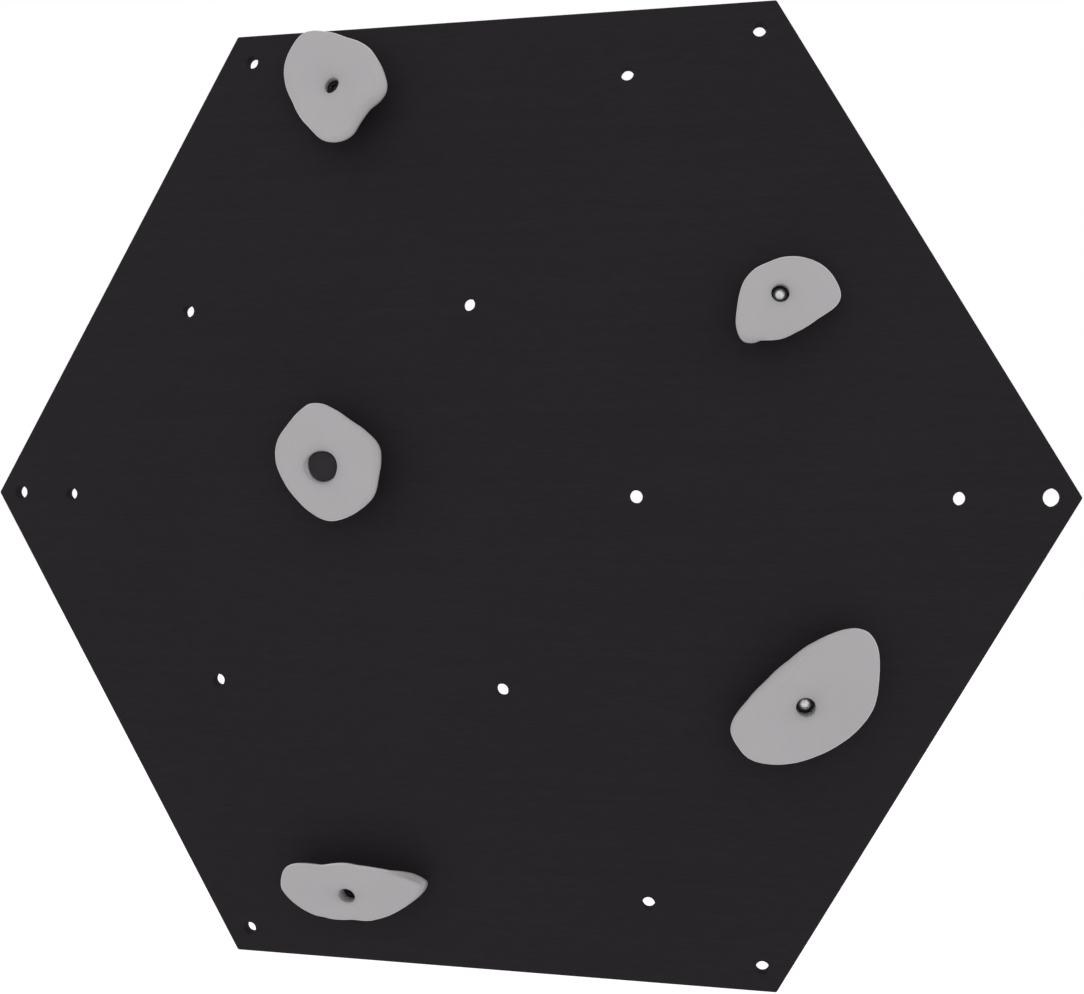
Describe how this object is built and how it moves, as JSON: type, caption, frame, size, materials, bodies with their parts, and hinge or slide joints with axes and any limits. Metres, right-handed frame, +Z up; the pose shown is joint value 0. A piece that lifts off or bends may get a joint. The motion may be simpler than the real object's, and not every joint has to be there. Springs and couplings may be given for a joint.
{
  "type": "climbing wall panel",
  "caption": "Flat hexagonal climbing panel, drilled on a triangular grid and at its corners, with bolt-on pebble and ledge holds that turn about their bolts.",
  "frame": {"origin": "centre of the board's back face", "axes": "+X to the right as the climber sees it, +Y into the wall, +Z up; the climbing face looks along -Y"},
  "size_m": [1.1994, 0.0599, 1.0392],
  "materials": {
    "board": "plywood stained black all over, its grain just showing, sealed with a matt lacquer",
    "hold_resin": "cast resin and sand, pale warm grey, matt, with a fine grip texture",
    "bright_zinc": "zinc-plated steel",
    "black_steel": "black-oxide steel",
    "nut_zinc": "zinc-plated steel, slightly dull",
    "cap_plastic": "black moulded plastic"
  },
  "bodies": {
    "panel": {"board": "board", "bolt_top_left": "black_steel", "washer_top_left": "black_steel", "tnut_top_left": "nut_zinc", "tnut_screw_top_left_1": "nut_zinc", "tnut_screw_top_left_2": "nut_zinc", "tnut_screw_top_left_3": "nut_zinc", "bolt_upper_right": "bright_zinc", "washer_upper_right": "bright_zinc", "tnut_upper_right": "nut_zinc", "tnut_screw_upper_right_1": "nut_zinc", "tnut_screw_upper_right_2": "nut_zinc", "tnut_screw_upper_right_3": "nut_zinc", "bolt_middle_left": "black_steel", "washer_middle_left": "black_steel", "tnut_middle_left": "nut_zinc", "tnut_screw_middle_left_1": "nut_zinc", "tnut_screw_middle_left_2": "nut_zinc", "tnut_screw_middle_left_3": "nut_zinc", "bolt_lower_right": "bright_zinc", "washer_lower_right": "bright_zinc", "tnut_lower_right": "nut_zinc", "tnut_screw_lower_right_1": "nut_zinc", "tnut_screw_lower_right_2": "nut_zinc", "tnut_screw_lower_right_3": "nut_zinc", "bolt_bottom_left": "black_steel", "washer_bottom_left": "black_steel", "tnut_bottom_left": "nut_zinc", "tnut_screw_bottom_left_1": "nut_zinc", "tnut_screw_bottom_left_2": "nut_zinc", "tnut_screw_bottom_left_3": "nut_zinc"},
    "hold_top_left": {"hold_top_left": "hold_resin"},
    "hold_upper_right": {"hold_upper_right": "hold_resin"},
    "hold_middle_left": {"hold_middle_left": "hold_resin", "bolt_cap_middle_left": "cap_plastic"},
    "hold_lower_right": {"hold_lower_right": "hold_resin"},
    "hold_bottom_left": {"hold_bottom_left": "hold_resin"}
  },
  "joints": [
    {"name": "hold_top_left_turn", "type": "hinge", "parent": "panel", "child": "hold_top_left", "pos_m": [-0.1777, -0.0123, 0.4481], "axis": [0, -1, 0], "range_deg": [-180, 180]},
    {"name": "hold_upper_right_turn", "type": "hinge", "parent": "panel", "child": "hold_upper_right", "pos_m": [0.3024, -0.0123, 0.2083], "axis": [0, -1, 0], "range_deg": [-180, 180]},
    {"name": "hold_middle_left_turn", "type": "hinge", "parent": "panel", "child": "hold_middle_left", "pos_m": [-0.1866, -0.0123, 0.0308], "axis": [0, -1, 0], "range_deg": [-180, 180]},
    {"name": "hold_lower_right_turn", "type": "hinge", "parent": "panel", "child": "hold_lower_right", "pos_m": [0.3275, -0.0123, -0.2124], "axis": [0, -1, 0], "range_deg": [-180, 180]},
    {"name": "hold_bottom_left_turn", "type": "hinge", "parent": "panel", "child": "hold_bottom_left", "pos_m": [-0.1585, -0.0123, -0.4351], "axis": [0, -1, 0], "range_deg": [-180, 180]}
  ]
}
